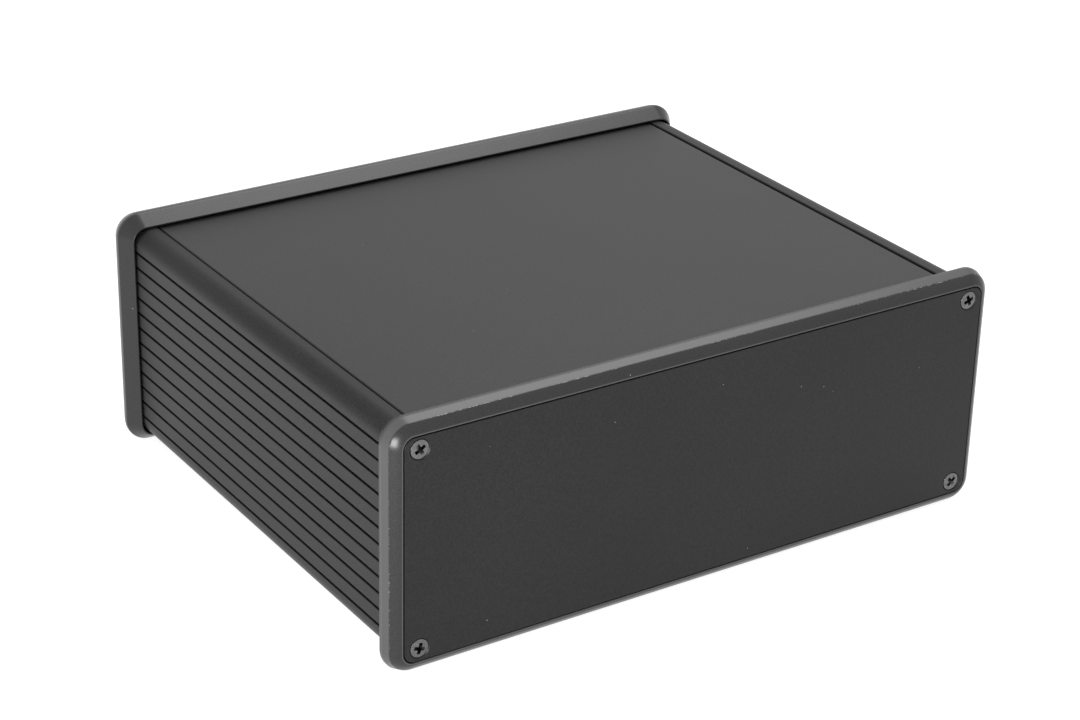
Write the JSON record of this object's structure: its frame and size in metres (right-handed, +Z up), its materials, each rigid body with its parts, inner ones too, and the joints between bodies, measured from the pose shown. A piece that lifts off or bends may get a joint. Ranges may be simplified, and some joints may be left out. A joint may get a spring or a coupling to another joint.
{
  "type": "extruded aluminium enclosure",
  "caption": "Flat rectangular instrument enclosure: grooved extruded side profiles, sliding covers, and proud end bezels that frame recessed screwed panels.",
  "frame": {"origin": "centre of the bounding box in plan, at the level the bezels stand on", "axes": "+X to the right across the width, +Y towards the rear with the front panel at -Y, +Z up"},
  "size_m": [0.2038, 0.169, 0.0758],
  "materials": {
    "ribbed_profile": "matt black anodised",
    "cover": "matt black anodised",
    "bezel": "semi-gloss black coated casting",
    "panel": "matt black anodised",
    "screw": "bright zinc-plated steel"
  },
  "bodies": {
    "root": {"left_side_profile": "ribbed_profile", "right_side_profile": "ribbed_profile", "top_cover": "cover", "bottom_cover": "cover", "front_bezel": "bezel", "rear_bezel": "bezel", "front_panel": "panel", "rear_panel": "panel", "front_screw_1": "screw", "front_screw_2": "screw", "front_screw_3": "screw", "front_screw_4": "screw", "rear_screw_1": "screw", "rear_screw_2": "screw", "rear_screw_3": "screw", "rear_screw_4": "screw"}
  },
  "joints": []
}
